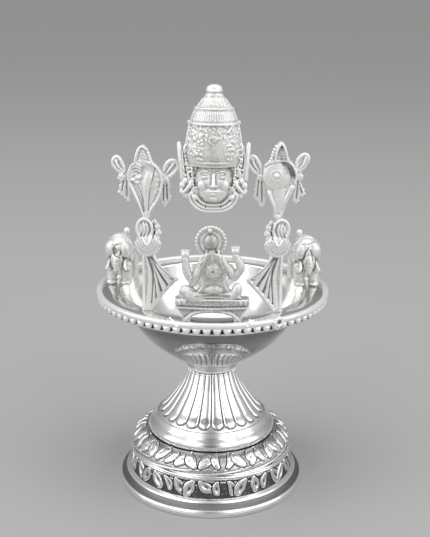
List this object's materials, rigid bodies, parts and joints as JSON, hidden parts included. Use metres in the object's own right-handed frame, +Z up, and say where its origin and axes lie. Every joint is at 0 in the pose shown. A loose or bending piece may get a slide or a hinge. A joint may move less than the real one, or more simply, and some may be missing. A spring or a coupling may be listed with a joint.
{
  "type": "votive oil lamp",
  "caption": "Round silver oil lamp with an open bowl on a fluted, embossed pedestal and cast devotional figures standing round the flange of the bowl.",
  "frame": {"origin": "middle of the foot's flat underside, which is also the bottom centre of the lamp's box", "axes": "+Z up along the pedestal's axis, -Y the front that the figures face, +X to the right as seen from the front"},
  "size_m": [0.084, 0.084, 0.1503],
  "materials": {
    "polished_silver": "mirror polished silver",
    "frosted_silver": "frosted bright cast silver",
    "oxidised_silver": "embossed silver, polished high spots and dark oxidised recesses",
    "steel_fixing": "plain turned steel"
  },
  "bodies": {
    "root": {"foot_ring": "polished_silver", "band_moulding": "polished_silver", "shoulder_ring": "polished_silver", "fluted_stem": "polished_silver", "neck_ring": "polished_silver", "bowl": "polished_silver", "bowl_flange": "polished_silver", "rim_lip": "polished_silver", "bead_gallery": "polished_silver", "gallery_wire": "polished_silver", "lower_leaf_band": "oxidised_silver", "upper_leaf_dome": "oxidised_silver", "rim_rosette": "frosted_silver", "lotus_seat": "frosted_silver", "seated_figure": "frosted_silver", "left_seat_tab": "frosted_silver", "right_seat_tab": "frosted_silver", "left_fan": "frosted_silver", "right_fan": "frosted_silver", "left_flower_knot": "frosted_silver", "right_flower_knot": "frosted_silver", "conch_emblem": "frosted_silver", "disc_emblem": "frosted_silver", "conch_bow": "frosted_silver", "disc_bow": "frosted_silver", "crowned_head": "frosted_silver", "left_elephant": "frosted_silver", "right_elephant": "frosted_silver", "bowl_stud": "steel_fixing", "stud_washer": "steel_fixing", "stud_nut": "steel_fixing"}
  },
  "joints": []
}
